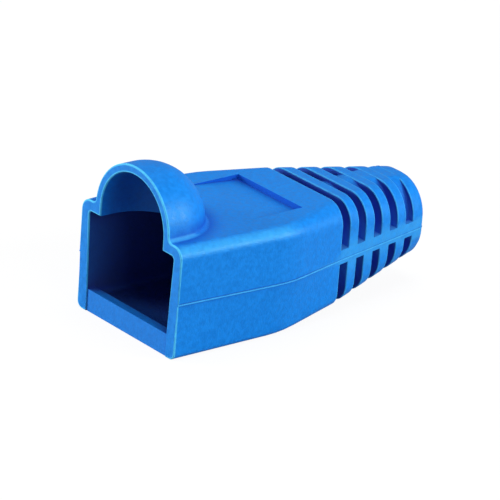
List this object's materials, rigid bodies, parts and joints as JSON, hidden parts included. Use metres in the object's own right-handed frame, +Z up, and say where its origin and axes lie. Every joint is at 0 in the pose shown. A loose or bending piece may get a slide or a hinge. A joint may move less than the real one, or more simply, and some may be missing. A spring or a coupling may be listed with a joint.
{
  "type": "rj45 strain relief boot",
  "caption": "One-piece flexible boot that sleeves the back of a modular data plug, with an arched latch hood and a ribbed, slotted tail round the cable.",
  "frame": {"origin": "on the flat underside, at the middle of the boot's length and width", "axes": "+X runs from the plug mouth to the cable end, +Z up from the flat underside, Y across"},
  "size_m": [0.0308, 0.0154, 0.0155],
  "materials": {
    "boot": "fine matte moulded texture, flexible PVC"
  },
  "bodies": {
    "root": {"boot": "boot"}
  },
  "joints": []
}
